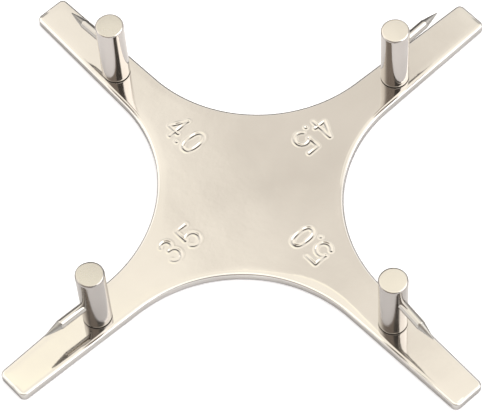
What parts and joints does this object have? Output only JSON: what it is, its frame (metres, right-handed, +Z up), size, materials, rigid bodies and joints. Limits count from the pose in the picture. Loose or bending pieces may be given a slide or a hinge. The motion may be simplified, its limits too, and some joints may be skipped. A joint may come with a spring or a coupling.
{
  "type": "watch case back opener",
  "caption": "Cross-shaped steel plate with an upright post on each arm; each post holds a pointed pin at its own height for prying the press-fit backs off watch cases.",
  "frame": {"origin": "middle of the cross, on the surface that the plate rests on", "axes": "+Z up along the posts; the arms lie along the diagonals of X and Y, at 45, 135, 225 and 315 degrees"},
  "size_m": [0.095, 0.095, 0.0192],
  "materials": {
    "plate": "bright nickel plate on steel, buffed, with rolled rims and fine scratches",
    "post": "bright nickel plate on turned steel",
    "pin": "polished steel with a matt ground point"
  },
  "bodies": {
    "root": {"cross_plate": "plate", "post_45": "post", "post_40": "post", "post_35": "post", "post_50": "post", "pin_45": "pin", "pin_40": "pin", "pin_35": "pin", "pin_50": "pin"}
  },
  "joints": []
}
